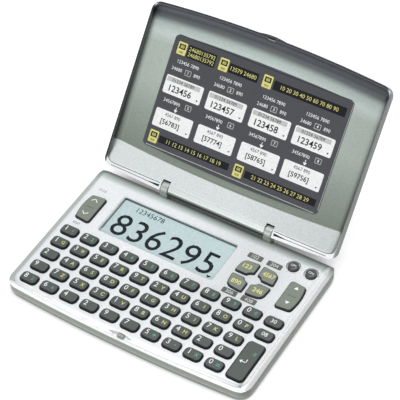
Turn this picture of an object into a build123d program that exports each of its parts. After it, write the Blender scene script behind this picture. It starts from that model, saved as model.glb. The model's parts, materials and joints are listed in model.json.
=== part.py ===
from build123d import *
import math
import os

# Pocket electronic dictionary: a keyboard base and a shallow tray lid on one hinge line.
# Millimetres, +X right, +Y towards the hinge, +Z up. The origin is the middle of the flat
# underside of the base. The lid is modelled closed and then swung open about the hinge axis.

# ---- base body ----
BASE_W = 128.0            # width of the base
BASE_FRONT_Y = -42.0      # front corners of the base
BASE_BACK_Y = 40.5        # back wall of the base
FRONT_BOW = 2.2           # how far the front edge bulges past its corners
CORNER_R = 6.0            # plan radius of the corners
BOTTOM_R = 2.0            # rounding of the lower edge
TOP_Z = 8.0               # plateau that carries the keys
LAND_EDGE_Z = 5.95        # outer edge of the sloping land that the closed lid sits over
LAND_Z = 6.4              # inner edge of that land
PLATEAU_GAP = 0.15        # space between the plateau's foot and the rim of the closed lid
PLATEAU_BACK_R = 7.5      # plan radius of the plateau's back corners
SHOULDER_R = 1.9          # rounding from the land up to the plateau
PARTING_Z = 5.7           # joint between the bottom case and the top panel
ROLL_Y = 31.2             # where the plateau starts to roll down to the back
ROLL_R = 11.0             # radius of that roll
WALL = 1.4                # side walls of the bottom case
FLOOR = 1.5               # floor of the bottom case
PANEL_T = 1.1             # thickness of the top panel
LEDGE_T = 0.7             # ledge of the case that the top panel rests on

# ---- keys ----
COLUMNS = 11
ROWS = 5
KEY_PITCH_X = 10.95
KEY_PITCH_Y = 8.08
KEY_X0 = -53.8            # centre of the first column
KEY_Y0 = -3.7             # centre of the first row
KEY_W = 8.5
KEY_D = 5.35
KEY_R = 1.9
KEY_TOP_Z = 9.2
KEY_BOTTOM_Z = 6.0
KEY_EDGE_R = 0.6          # rounding of a key's upper edge
KEY_GAP = 0.18            # clearance round a key in the panel
KEY_LIP = 0.45            # lip in front of and behind a key that holds it under the panel
LIP_GAP = 0.15            # clearance above that lip
KEY_TRAVEL = 0.5
FULL_ROWS = 2             # rows whose every key is a sub-part of its own
ENTER_ROWS = 3            # rows that the tall key spans

ROCKER_L = 16.6
ROCKER_W = 8.8
ROCKER_Y = 12.45
ROCKER_BULGE = 1.1        # bow of a rocker's outer side
ROCKER_R = 1.4
ROCKER_GAP = 0.3
ROCKER_LIP_T = 0.35

MODE_X = 35.1             # centre of the four mode keys
MODE_Y = 12.75
MODE_W = 20.0             # overall size of the four together
MODE_D = 17.8
MODE_SLOT = 1.7           # space between neighbouring mode keys
MODE_BULGE = 0.9
MODE_CORNER_R = 3.4
MODE_INNER_R = 0.8        # rounding of a mode key's inner corners
MODE_EYE_A = 4.0          # half axes of the oval that the four keys leave free
MODE_EYE_B = 2.9
MODE_EDGE_R = 0.7

ROUND_X = 47.3            # left one of the two round buttons
ROUND_PITCH = 9.1
ROUND_Y = 28.45
ROUND_R = 2.7
ROUND_TOP_Z = 9.0
ROUND_EDGE_R = 1.1
RING_R = 3.9              # dished ring round each of them
RING_LIP_W = 0.5          # lip of the ring that lies on the panel
RING_RISE = 0.28
RING_DISH = 0.55

# ---- display ----
VIEW_X = -12.3            # centre of the viewing opening
VIEW_Y = 15.65
VIEW_W = 61.8
VIEW_D = 23.4
VIEW_R = 1.0
VIEW_BEVEL = 0.6
WINDOW_T = 0.65
WINDOW_LAP = 1.9          # how far the window reaches under the panel
GLASS_T = 0.9
GLASS_LAP = 0.9
FRAME_LAP = 2.3
FRAME_WALL = 1.2
CONNECTOR_D = 1.8
SEAT_GAP = 0.05           # face to face clearance of stacked pieces

# ---- inside the base ----
BOARD_Z = 4.2
BOARD_T = 0.75
BOARD_INSET = 3.8         # edge of the circuit board from the outline of the base
MAT_T = 0.25
MAT_PAD_T = 0.2
MAT_PAD_R = 1.6
BOSS_R = 1.7
BOSS_BOTTOM_Z = 3.3
SCREW_R = 0.6
SCREW_GAP = 0.02
SCREW_HEAD_R = 1.4
SCREW_HEAD_T = 0.9
SCREW_RECESS = 0.4
POST_R = 2.6
CELL_R = 10.0
CELL_T = 2.5
CELL_X = 11.5             # the two coin cells lie at this distance either side of the middle
CELL_Y = -17.0
CELL_GAP = 0.8            # space round the cells in their compartment
RIB_T = 1.0
COVER_T = 1.0
COVER_LAP = 1.6
COVER_GAP = 0.15
COVER_TAB_T = 0.5
CONTACT_T = 0.25
CONTACT_W = 4.0
FOOT_R = 3.5
FOOT_T = 1.0
FOOT_PROUD = 0.5
FOOT_X = 53.0
FOOT_FRONT_Y = -33.0
FOOT_BACK_Y = 31.0
LABEL_W = 44.0
LABEL_D = 16.0
LABEL_Y = 12.0
LABEL_DEPTH = 0.3
RESET_R = 0.9
RESET_X = -34.0
RESET_Y = 16.0

# ---- hinge ----
AXIS_Y = 40.0
AXIS_Z = 9.3
OPEN_ANGLE = 131.3        # opening of the lid from closed, degrees
BARREL_R = 2.6
KNUCKLE_R = 3.2
KNUCKLE_W = 3.8
KNUCKLE_X = 26.3          # inner face of each knuckle
KNUCKLE_FRONT_Y = 36.4
HINGE_GAP = 0.25
NOTCH_GAP = 0.4
PIN_R = 0.9
PIN_FIT = 0.05            # running clearance of a pin in the barrel
PIN_SEAT = 0.02           # clearance of a pin in its knuckle
PIN_REACH = 7.0           # how far a pin runs into the barrel
TONGUE_W = 40.0
TONGUE_D = 3.2
TONGUE_T = 1.4
SPINE_R = 3.5             # curl of the lid cover that wraps the barrel from behind
SPINE_T = 0.8
SPINE_END_Z = 8.3         # lower end of that curl

# ---- lid, in its closed position ----
LID_W = 125.8
RIM_Z = 6.57
LID_FRONT_Y = -41.8       # front corners of the lid
LID_FRONT_BOW = 2.9
LID_FRONT_R = 4.8         # plan radius of the front corners
LID_BACK_Y = 40.0         # back corners of the lid
LID_BACK_BOW = 2.0
LID_BACK_R = 4.0
LID_TOP_Z = 13.1
LID_CROWN = 0.7           # how much lower the outer face is at the sides
LID_EDGE_R = 3.3
COVER_WALL = 0.7
COVER_ROOF = 1.2
COVER_EDGE_EASE = 0.3     # how much slacker the cover's inner edges are than its wall asks
TRAY_BACK_Y = 37.85       # back end of the tray inside the cover
TRAY_GAP = 0.05
TRAY_RIM = 0.45           # thickness of the tray's own rim
TRAY_T = 1.0
TRAY_DEPTH = 3.5
TRAY_SIDE_R = 2.9
TRAY_FAR_REACH = 5.6      # length of the sweep from the front rim down to the flat
CREASE_Y = 28.4           # where the flat of the tray turns up towards the hinge
CREASE_BOW = 1.1
SLOPE_END_Y = 37.95
SLOPE_END_DEPTH = 0.35
CARD_X = -0.6
CARD_W = 94.7
CARD_FRONT_Y = -30.1
CARD_BACK_Y = 24.2
CARD_FRONT_BOW = 1.3
CARD_BACK_BOW = 1.6
CARD_R = 2.0
CARD_T = 0.25
LIP_W = 22.0              # thumb lip on the lid's front edge
LIP_REACH = 0.6
LIP_ROOT = 1.0            # how far the lip's arc starts behind the lid's edge
LIP_T = 1.8
LIP_RAISE = 0.3
SLOT_IN_X = 31.6          # wedge slots beside the knuckles
SLOT_OUT_X = 39.2
SLOT_OPEN = 0.8
SLOT_Y = 39.6
SLOT_DEPTH = 1.6

# ---- latch ----
LATCH_W = 3.4
LATCH_T = 0.9
LATCH_INSET = 1.85        # middle of the hook behind the front edge
LATCH_TOP_Z = 7.9
LATCH_ROOT_Z = 5.0
LATCH_BARB = 0.2
LATCH_GAP = 0.25
LENS_W = 12.0             # lens-shaped dip that the hook stands in
LENS_D = 2.2
LENS_Z = 6.2              # floor of the dip
LENS_FLOOR_T = 0.5
LENS_WALL = 0.9

# ---- sizes worked out from those above ----
PANEL_UNDER_Z = TOP_Z - PANEL_T
BOARD_TOP_Z = BOARD_Z + BOARD_T
MAT_Z = BOARD_TOP_Z + SEAT_GAP
MAT_TOP_Z = MAT_Z + MAT_T
WINDOW_Z = PANEL_UNDER_Z - SEAT_GAP - WINDOW_T
GLASS_Z = WINDOW_Z - SEAT_GAP * 2 - GLASS_T
SHOULDER_Z = TOP_Z - SHOULDER_R
SHOULDER_RUN = math.sqrt(SHOULDER_R**2 - (LAND_Z - SHOULDER_Z) ** 2)
RIM_W = COVER_WALL + TRAY_GAP + TRAY_RIM
FRONT_MID_Y = BASE_FRONT_Y - FRONT_BOW
LID_FRONT_MID_Y = LID_FRONT_Y - LID_FRONT_BOW
KNUCKLE_FOOT_Z = FLOOR + SEAT_GAP
BARREL_HALF = KNUCKLE_X - HINGE_GAP
TONGUE_Z = AXIS_Z - 0.1
LATCH_Y = FRONT_MID_Y + LATCH_INSET
FAR = 300.0               # longer than anything that a cutting tool has to reach through
SMALLEST_R = 0.4          # least plan radius of an outline that is drawn in

BOSS_PLACES = [
    (KEY_X0 + 1.5 * KEY_PITCH_X, KEY_Y0 - 3.5 * KEY_PITCH_Y),
    (KEY_X0 + 8.5 * KEY_PITCH_X, KEY_Y0 - 3.5 * KEY_PITCH_Y),
    (KEY_X0 + 4.0, ROCKER_Y + ROCKER_L / 2 + 4.0),
    (VIEW_X + VIEW_W / 2 + FRAME_LAP + BOSS_R + 0.4, MODE_Y),
    ((MODE_X + MODE_W / 2 + ROUND_X + RING_R) / 2 + 0.1, ROCKER_Y),
    (VIEW_X, VIEW_Y + VIEW_D / 2 + FRAME_LAP + BOSS_R + 1.6),
]


# ---- outlines ----
def bowed_outline(width, front_y, back_y, front_bow, back_bow, front_r, back_r, inset=0.0):
    """A rounded rectangle whose front and back edges are shallow arcs, drawn in by inset."""
    half = width / 2 - inset
    front = front_y + inset
    back = back_y - inset
    edges = [
        ThreePointArc((-half, front), (0, front - front_bow), (half, front)),
        Line((half, front), (half, back)),
        Line((-half, back), (-half, front)),
    ]
    if back_bow:
        edges.insert(2, ThreePointArc((half, back), (0, back + back_bow), (-half, back)))
    else:
        edges.insert(2, Line((half, back), (-half, back)))
    face = make_face(edges)
    face = fillet(face.vertices().sort_by(Axis.Y)[:2], max(front_r - inset, SMALLEST_R))
    return fillet(face.vertices().sort_by(Axis.Y)[-2:], max(back_r - inset, SMALLEST_R))


def base_outline(inset):
    return bowed_outline(
        BASE_W, BASE_FRONT_Y, BASE_BACK_Y, FRONT_BOW, 0, CORNER_R, CORNER_R, inset
    )


def plateau_outline(inset):
    """The foot of the plateau, inside the rim of the closed lid, drawn in by inset."""
    return bowed_outline(
        LID_W, LID_FRONT_Y, BASE_BACK_Y, LID_FRONT_BOW, 0, CORNER_R, PLATEAU_BACK_R,
        RIM_W + PLATEAU_GAP + inset,
    )


def lid_outline(inset):
    return bowed_outline(
        LID_W, LID_FRONT_Y, LID_BACK_Y, LID_FRONT_BOW, LID_BACK_BOW, LID_FRONT_R, LID_BACK_R, inset
    )


def tray_outline(inset, back_y):
    """The outline of the space inside the lid: as the lid's, but straight at the back."""
    return bowed_outline(
        LID_W, LID_FRONT_Y, back_y + inset, LID_FRONT_BOW, 0, LID_FRONT_R, LID_BACK_R, inset
    )


def prism(face, low, high):
    return Pos(0, 0, low) * extrude(face, high - low)


def block(x0, x1, y0, y1, z0, z1):
    return Pos((x0 + x1) / 2, (y0 + y1) / 2, (z0 + z1) / 2) * Box(x1 - x0, y1 - y0, z1 - z0)


def rod_z(x, y, radius, z0, z1):
    return Pos(x, y, (z0 + z1) / 2) * Cylinder(radius, z1 - z0)


def rod_x(y, z, radius, x0, x1):
    return Pos((x0 + x1) / 2, y, z) * Rot(0, 90, 0) * Cylinder(radius, x1 - x0)


def block_face(y0, y1, z0, z1):
    """A rectangle in Y and Z, to be given thickness by slab_x."""
    return Pos((y0 + y1) / 2, (z0 + z1) / 2) * Rectangle(y1 - y0, z1 - z0)


def slab_x(face_yz, x0, x1):
    """A face drawn in Y and Z, given thickness from x0 to x1."""
    return Pos(x0, 0, 0) * extrude(Plane.YZ * face_yz, x1 - x0)


def round_rect(x, y, width, depth, radius):
    return Pos(x, y) * RectangleRounded(width, depth, radius)


def edges_at(solid, z):
    return solid.edges().filter_by(lambda edge: abs(edge.center().Z - z) < 0.01)


def round_edges(solid, z, radius):
    return fillet(edges_at(solid, z), radius)


# ---- base shells ----
def back_roll(drop):
    """Everything below the rolled back of the base, drop mm under its outer surface."""
    centre_z = TOP_Z - ROLL_R
    radius = ROLL_R - drop
    top = centre_z + radius
    roll = Pos(ROLL_Y, centre_z) * Circle(radius)
    front = Pos(ROLL_Y - FAR / 2, top - FAR / 2) * Rectangle(FAR, FAR)
    return slab_x(front + roll, -FAR / 2, FAR / 2)


def raised_plateau(drop):
    """The plateau with its rounded shoulder, drop mm under its outer surface."""
    outline = plateau_outline(SHOULDER_RUN - SHOULDER_R + drop)
    body = prism(outline, BOARD_Z, TOP_Z - drop)
    return round_edges(body, TOP_Z - drop, SHOULDER_R - drop)


def sloping_land():
    outer = Pos(0, 0, LAND_EDGE_Z) * base_outline(0)
    inner = Pos(0, 0, LAND_Z) * plateau_outline(0)
    return loft([outer, inner], ruled=True)


def base_envelope():
    tub = round_edges(prism(base_outline(0), 0, LAND_EDGE_Z), 0, BOTTOM_R)
    return (tub + sloping_land() + raised_plateau(0)) & back_roll(0)


def base_hollow():
    lower = prism(base_outline(WALL), FLOOR, PARTING_Z - LEDGE_T)
    return (lower + raised_plateau(PANEL_T)) & back_roll(PANEL_T)


def make_bottom_case(envelope, hollow):
    shell = (envelope & block(-FAR, FAR, -FAR, FAR, -1, PARTING_Z)) - hollow
    for x, y in BOSS_PLACES:
        shell += rod_z(x, y, POST_R, FLOOR / 2, BOSS_BOTTOM_Z - SEAT_GAP)
    shell += cell_compartment()
    for x, y in BOSS_PLACES:
        shell -= rod_z(x, y, SCREW_R + SCREW_GAP, -1, BOSS_BOTTOM_Z)
        shell -= rod_z(x, y, SCREW_HEAD_R + SCREW_GAP, -1, SCREW_RECESS + SCREW_HEAD_T)
    shell -= battery_opening()
    for x, y in foot_places():
        shell -= rod_z(x, y, FOOT_R + SEAT_GAP, -1, FOOT_T - FOOT_PROUD)
    for side in (-1, 1):
        shell -= knuckle_pocket(side)
    shell -= rod_z(RESET_X, RESET_Y, RESET_R, -1, FLOOR + 1)
    return shell - block(
        -LABEL_W / 2, LABEL_W / 2, LABEL_Y - LABEL_D / 2, LABEL_Y + LABEL_D / 2, -1, LABEL_DEPTH
    )


def make_top_panel(envelope, hollow):
    panel = (envelope & block(-FAR, FAR, -FAR, FAR, PARTING_Z, FAR)) - hollow
    for x, y in BOSS_PLACES:
        panel += rod_z(x, y, BOSS_R, BOSS_BOTTOM_Z, PANEL_UNDER_Z + 0.3) & back_roll(0.3)
    for x, y in BOSS_PLACES:
        panel -= rod_z(x, y, SCREW_R + SCREW_GAP, 0, PANEL_UNDER_Z - 0.5)
    for hole in key_holes():
        panel -= hole
    panel -= view_opening()
    for x in round_places():
        panel -= rod_z(x, ROUND_Y, RING_R - RING_LIP_W + SEAT_GAP, PARTING_Z, FAR)
    for side in (-1, 1):
        panel -= knuckle_pocket(side)
    return panel + (latch_boss() & envelope) - latch_recess()


def view_opening():
    opening = prism(
        round_rect(VIEW_X, VIEW_Y, VIEW_W, VIEW_D, VIEW_R), PANEL_UNDER_Z - 1, TOP_Z + 1
    )
    bevel = extrude(
        Pos(0, 0, TOP_Z) * round_rect(
            VIEW_X, VIEW_Y, VIEW_W + 2 * VIEW_BEVEL, VIEW_D + 2 * VIEW_BEVEL, VIEW_R + VIEW_BEVEL
        ),
        -VIEW_BEVEL,
        taper=45,
    )
    return opening + bevel


# ---- key shapes ----
def key_place(row, column):
    return KEY_X0 + column * KEY_PITCH_X, KEY_Y0 - row * KEY_PITCH_Y


def small_key_places(row):
    """A row's small keys; the rows that the tall key spans are one column shorter."""
    columns = COLUMNS if row < ROWS - ENTER_ROWS else COLUMNS - 1
    return [key_place(row, column) for column in range(columns)]


def enter_key_depth():
    return (ENTER_ROWS - 1) * KEY_PITCH_Y + KEY_D


def enter_key_place():
    x, y = key_place(ROWS - 1, COLUMNS - 1)
    return x, y + (ENTER_ROWS - 1) * KEY_PITCH_Y / 2


def capped(face, top, edge_r):
    body = prism(face, KEY_BOTTOM_Z, top)
    return round_edges(body, top, edge_r)


def lipped_key(x, y, width, depth):
    """A key cap with a lip in front and behind that stays under the panel."""
    cap = capped(round_rect(x, y, width, depth, KEY_R), KEY_TOP_Z, KEY_EDGE_R)
    lip = round_rect(x, y, width - 2, depth + 2 * KEY_LIP, 0.5)
    return cap + prism(lip, KEY_BOTTOM_Z, PANEL_UNDER_Z - LIP_GAP)


def lipped_hole(x, y, width, depth):
    gap = 2 * KEY_GAP
    hole = prism(
        round_rect(x, y, width + gap, depth + gap, KEY_R + KEY_GAP), PARTING_Z - 1, TOP_Z + 1
    )
    pocket = round_rect(x, y, width - 2 + gap, depth + 2 * KEY_LIP + gap, 0.5 + KEY_GAP)
    return hole + prism(pocket, PARTING_Z - 1, PANEL_UNDER_Z)


def rocker_face(side, grow):
    """A rocker seen from above: straight towards the middle of the base, bowed outside."""
    centre_x = key_place(0, COLUMNS - 1 if side > 0 else 0)[0] - 0.35 * side
    inner = centre_x - side * (ROCKER_W / 2 + grow)
    outer = centre_x + side * (ROCKER_W / 2 - ROCKER_BULGE + grow)
    half = ROCKER_L / 2 + grow
    short = half - 0.8
    face = make_face(
        [
            Line((inner, ROCKER_Y - half), (inner, ROCKER_Y + half)),
            Line((inner, ROCKER_Y + half), (outer, ROCKER_Y + short)),
            ThreePointArc(
                (outer, ROCKER_Y + short),
                (outer + side * ROCKER_BULGE, ROCKER_Y),
                (outer, ROCKER_Y - short),
            ),
            Line((outer, ROCKER_Y - short), (inner, ROCKER_Y - half)),
        ]
    )
    return fillet(face.vertices(), ROCKER_R + grow)


def make_rocker(side):
    cap = capped(rocker_face(side, 0), KEY_TOP_Z, KEY_EDGE_R)
    return cap + prism(rocker_face(side, KEY_LIP), KEY_BOTTOM_Z, KEY_BOTTOM_Z + ROCKER_LIP_T)


def rocker_hole(side):
    hole = prism(rocker_face(side, ROCKER_GAP), PARTING_Z - 1, TOP_Z + 1)
    return hole + prism(rocker_face(side, KEY_LIP + ROCKER_GAP), PARTING_Z - 1, PANEL_UNDER_Z)


def mode_cluster(grow):
    """The outline that the four mode keys fill between them."""
    a = MODE_W / 2 - MODE_BULGE + grow
    b = MODE_D / 2 - MODE_BULGE + grow
    corners = [(-a, -b), (a, -b), (a, b), (-a, b)]
    middles = [(0, -b - MODE_BULGE), (a + MODE_BULGE, 0), (0, b + MODE_BULGE), (-a - MODE_BULGE, 0)]
    arcs = [
        ThreePointArc(corners[i], middles[i], corners[(i + 1) % 4]) for i in range(4)
    ]
    return fillet(make_face(arcs).vertices(), MODE_CORNER_R + grow)


def is_sharp(corner, face):
    """Whether the two edges that meet at a corner of a face turn there."""
    ends = []
    for edge in face.edges():
        for at in (0, 1):
            if (edge @ at - corner.center()).length < 0.001:
                ends.append(edge % at)
    turn = ends[0].get_angle(ends[1])
    return 10 < turn < 170


def mode_face(side_x, side_y, grow):
    """One mode key: a quarter of the cluster, cut away round the oval in the middle."""
    half_slot = MODE_SLOT / 2 - grow
    quarter = Pos(side_x * (MODE_W / 2 + half_slot), side_y * (MODE_D / 2 + half_slot)) * Rectangle(
        MODE_W, MODE_D
    )
    face = (mode_cluster(grow) & quarter) - Ellipse(MODE_EYE_A - grow, MODE_EYE_B - grow)
    sharp = [corner for corner in face.vertices() if is_sharp(corner, face)]
    return Pos(MODE_X, MODE_Y) * fillet(sharp, MODE_INNER_R + grow / 2)


def mode_sides():
    """Left to right, the back pair first."""
    return [(-1, 1), (1, 1), (-1, -1), (1, -1)]


def make_mode_key(side_x, side_y):
    cap = capped(mode_face(side_x, side_y, 0), KEY_TOP_Z, KEY_EDGE_R)
    lip_d = KEY_LIP * 1.5
    y = MODE_Y + side_y * (MODE_D / 2 - lip_d / 2 - 0.2)
    lip = Pos(MODE_X + side_x * MODE_W / 4, y + side_y * lip_d) * Rectangle(MODE_W / 4, lip_d * 2)
    return cap + prism(lip, KEY_BOTTOM_Z, PANEL_UNDER_Z - LIP_GAP)


def mode_hole(side_x, side_y):
    hole = prism(mode_face(side_x, side_y, KEY_GAP), PARTING_Z - 1, TOP_Z + 1)
    lip_d = KEY_LIP * 1.5
    y = MODE_Y + side_y * (MODE_D / 2 - lip_d / 2 - 0.2)
    pocket = Pos(MODE_X + side_x * MODE_W / 4, y + side_y * lip_d) * Rectangle(
        MODE_W / 4 + 2 * KEY_GAP, lip_d * 2 + 2 * KEY_GAP
    )
    return hole + prism(pocket, PARTING_Z - 1, PANEL_UNDER_Z)


def round_places():
    return [ROUND_X, ROUND_X + ROUND_PITCH]


def make_round_button(x):
    cap = rod_z(x, ROUND_Y, ROUND_R, KEY_BOTTOM_Z, ROUND_TOP_Z)
    cap = round_edges(cap, ROUND_TOP_Z, ROUND_EDGE_R)
    return cap + rod_z(x, ROUND_Y, ROUND_R + KEY_LIP, KEY_BOTTOM_Z, PANEL_UNDER_Z - LIP_GAP - 0.3)


def make_button_rings():
    """Two dished rings, one round each of the round buttons, with a lip on the panel."""
    inner = ROUND_R + KEY_GAP
    seat = RING_R - RING_LIP_W
    low = PANEL_UNDER_Z - 0.3
    profile = make_face(
        Polyline(
            (inner, low),
            (seat, low),
            (seat, TOP_Z + SEAT_GAP),
            (RING_R, TOP_Z + SEAT_GAP),
            (RING_R - 0.1, TOP_Z + RING_RISE),
            (RING_R - 0.35, TOP_Z + RING_RISE),
            (inner + 0.15, TOP_Z - RING_DISH),
            (inner, TOP_Z - RING_DISH),
            (inner, low),
        )
    )
    ring = revolve(Plane.XZ * profile, Axis.Z)
    return Compound([Pos(x, ROUND_Y, 0) * ring for x in round_places()])


def key_holes():
    holes = [
        lipped_hole(x, y, KEY_W, KEY_D) for row in range(ROWS) for x, y in small_key_places(row)
    ]
    x, y = enter_key_place()
    holes.append(lipped_hole(x, y, KEY_W, enter_key_depth()))
    holes += [rocker_hole(side) for side in (-1, 1)]
    holes += [mode_hole(*sides) for sides in mode_sides()]
    return holes


# ---- display stack ----
def display_plate(lap, z, thickness):
    return prism(
        round_rect(VIEW_X, VIEW_Y, VIEW_W + 2 * lap, VIEW_D + 2 * lap, VIEW_R), z, z + thickness
    )


def make_lcd_frame():
    high = WINDOW_Z - SEAT_GAP
    outer = display_plate(FRAME_LAP, MAT_Z, high - MAT_Z)
    inner = display_plate(FRAME_LAP - FRAME_WALL, MAT_Z - 1, high - MAT_Z + 2)
    return outer - inner


def make_lcd_connector():
    """Two elastomer strips that join the glass to the circuit board."""
    y = VIEW_D / 2 + GLASS_LAP - CONNECTOR_D
    half = VIEW_W / 2 - 1.5
    low = BOARD_TOP_Z
    return Compound(
        [
            block(
                VIEW_X - half, VIEW_X + half,
                VIEW_Y + side * y - CONNECTOR_D / 2, VIEW_Y + side * y + CONNECTOR_D / 2,
                low, GLASS_Z,
            )
            for side in (-1, 1)
        ]
    )


# ---- inside the base ----
def make_circuit_board():
    board = prism(base_outline(BOARD_INSET), BOARD_Z, BOARD_TOP_Z) & back_roll(PANEL_T + 1.0)
    for x, y in BOSS_PLACES:
        board -= rod_z(x, y, BOSS_R + 0.2, BOARD_Z - 1, BOARD_TOP_Z + 1)
    for side in (-1, 1):
        board -= knuckle_pocket(side)
    return board


def key_centres():
    """Where each moving key presses on the mat."""
    places = [place for row in range(ROWS) for place in small_key_places(row)]
    x, y = enter_key_place()
    places += [(x, y + side * KEY_PITCH_Y / 2) for side in (-1, 1)]
    for column in (0, COLUMNS - 1):
        rocker_x = key_place(0, column)[0]
        places += [(rocker_x, ROCKER_Y + side * ROCKER_L / 3) for side in (-1, 1)]
    places += [(MODE_X + a * MODE_W / 4, MODE_Y + b * MODE_D / 4) for a, b in mode_sides()]
    return places + [(x, ROUND_Y) for x in round_places()]


def make_keymat():
    """A rubber sheet with a pad under every key, open round the display."""
    sheet = prism(base_outline(BOARD_INSET + 0.4), MAT_Z, MAT_TOP_Z) & back_roll(PANEL_T + 1.0)
    sheet -= display_plate(FRAME_LAP + 0.3, MAT_Z - 1, 3)
    for x, y in key_centres():
        sheet += rod_z(x, y, MAT_PAD_R, MAT_Z, MAT_TOP_Z + MAT_PAD_T)
    for x, y in BOSS_PLACES:
        sheet -= rod_z(x, y, BOSS_R + 0.2, MAT_Z - 1, MAT_Z + 2)
    for side in (-1, 1):
        sheet -= knuckle_pocket(side)
    return sheet


def make_circuit_chips():
    """Processor, memory, clock crystal and a row of capacitors under the board."""
    def under(x, y, width, depth, height):
        return block(
            x - width / 2, x + width / 2, y - depth / 2, y + depth / 2, BOARD_Z - height, BOARD_Z
        )

    chips = [under(34, 2, 14, 14, 1.4), under(-36, 0, 12, 8, 1.2), under(34, 24, 8, 3, 1.5)]
    chips += [under(-50 + 4 * i, -8, 2, 1.2, 0.8) for i in range(4)]
    return Compound(chips)


def cell_places():
    return [(-CELL_X, CELL_Y), (CELL_X, CELL_Y)]


def compartment_box(grow, z0, z1):
    half = CELL_X + CELL_R + CELL_GAP + grow
    depth = CELL_R + CELL_GAP + grow
    return block(-half, half, CELL_Y - depth, CELL_Y + depth, z0, z1)


def cell_compartment():
    """The rib round the coin cells."""
    low, high = FLOOR / 2, BOARD_Z - SEAT_GAP
    return compartment_box(RIB_T, low, high) - compartment_box(0, low, high + 1)


def battery_opening():
    return compartment_box(0, -1, FLOOR + 1) + compartment_box(COVER_LAP, -1, COVER_T + SEAT_GAP)


def make_battery_cover():
    """A flush plate with two tabs in front and one behind that grip the opening."""
    cover = compartment_box(COVER_LAP - COVER_GAP, 0, COVER_T)
    middle = CELL_R + CELL_GAP - COVER_GAP - COVER_TAB_T / 2
    for x, side in ((-CELL_X, -1), (CELL_X, -1), (0, 1)):
        y = CELL_Y + side * middle
        cover += block(
            x - 1.5, x + 1.5, y - COVER_TAB_T / 2, y + COVER_TAB_T / 2, COVER_T, FLOOR + 0.9
        )
    return cover


def make_cell(x, y):
    """A coin cell: a can with a smaller cap on its upper side."""
    low = COVER_T + SEAT_GAP
    can = round_edges(rod_z(x, y, CELL_R, low, low + CELL_T - 0.4), low, 0.4)
    return can + rod_z(x, y, CELL_R - 1.2, low + CELL_T - 0.4, low + CELL_T)


def make_battery_contacts():
    """A spring leaf over each cell, bent up to the board."""
    cell_top = COVER_T + SEAT_GAP + CELL_T
    leaves = []
    for x, y in cell_places():
        leaf = block(
            x - CONTACT_W / 2, x + CONTACT_W / 2, y - 6, y + 6, cell_top, cell_top + CONTACT_T
        )
        leaf += block(
            x - CONTACT_W / 2, x + CONTACT_W / 2, y + 6 - CONTACT_T, y + 6, cell_top, BOARD_Z
        )
        leaves.append(leaf)
    return Compound(leaves)


def make_case_screws():
    screws = []
    for x, y in BOSS_PLACES:
        head = rod_z(x, y, SCREW_HEAD_R, SCREW_RECESS, SCREW_RECESS + SCREW_HEAD_T)
        shank = rod_z(x, y, SCREW_R, SCREW_RECESS + SCREW_HEAD_T, PANEL_UNDER_Z - 0.8)
        cross = block(x - 0.8, x + 0.8, y - 0.15, y + 0.15, 0, SCREW_RECESS + 0.4)
        cross += block(x - 0.15, x + 0.15, y - 0.8, y + 0.8, 0, SCREW_RECESS + 0.4)
        screws.append((head + shank) - cross)
    return Compound(screws)


def foot_places():
    return [(x, y) for x in (-FOOT_X, FOOT_X) for y in (FOOT_FRONT_Y, FOOT_BACK_Y)]


def make_rubber_feet():
    feet = []
    for x, y in foot_places():
        foot = rod_z(x, y, FOOT_R, -FOOT_PROUD, FOOT_T - FOOT_PROUD)
        feet.append(round_edges(foot, -FOOT_PROUD, 0.2))
    return Compound(feet)


# ---- hinge ----
def knuckle_neck():
    """The neck of a knuckle seen from the side, from its foot in the case to the axis."""
    return make_face(
        Polyline(
            (KNUCKLE_FRONT_Y, KNUCKLE_FOOT_Z),
            (BASE_BACK_Y, KNUCKLE_FOOT_Z),
            (BASE_BACK_Y, AXIS_Z - KNUCKLE_R - 1.0),
            (AXIS_Y + KNUCKLE_R * 0.86, AXIS_Z - KNUCKLE_R * 0.43),
            (AXIS_Y, AXIS_Z),
            (AXIS_Y - KNUCKLE_R * 0.94, AXIS_Z - KNUCKLE_R * 0.2),
            (KNUCKLE_FRONT_Y, AXIS_Z - KNUCKLE_R - 0.1),
            (KNUCKLE_FRONT_Y, KNUCKLE_FOOT_Z),
        )
    )


def knuckle_span(side, grow):
    inner = KNUCKLE_X - grow
    outer = KNUCKLE_X + KNUCKLE_W + grow
    return (inner, outer) if side > 0 else (-outer, -inner)


def make_knuckle(side):
    x0, x1 = knuckle_span(side, 0)
    eye = rod_x(AXIS_Y, AXIS_Z, KNUCKLE_R, x0, x1)
    eye = fillet(eye.edges().filter_by(GeomType.CIRCLE), 0.5)
    body = eye + slab_x(knuckle_neck(), x0, x1)
    return body - rod_x(AXIS_Y, AXIS_Z, PIN_R + PIN_SEAT, x0 - 1, x1 + 1)


def knuckle_pocket(side):
    """Room for a knuckle in the case and the top panel."""
    x0, x1 = knuckle_span(side, SEAT_GAP)
    return block(x0, x1, KNUCKLE_FRONT_Y - SEAT_GAP, FAR, KNUCKLE_FOOT_Z - SEAT_GAP, FAR)


def make_hinge_pins():
    inner = BARREL_HALF - PIN_REACH
    outer = KNUCKLE_X + KNUCKLE_W
    return Compound(
        [rod_x(AXIS_Y, AXIS_Z, PIN_R, *ends) for ends in ((-outer, -inner), (inner, outer))]
    )


def tongue(grow):
    """The tongue that ties the barrel into the lid between the tray and the cover."""
    half = TONGUE_W / 2 + grow
    return block(
        -half, half,
        TRAY_BACK_Y - TONGUE_D - grow, AXIS_Y - 1,
        TONGUE_Z - grow, TONGUE_Z + TONGUE_T + grow,
    )


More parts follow.
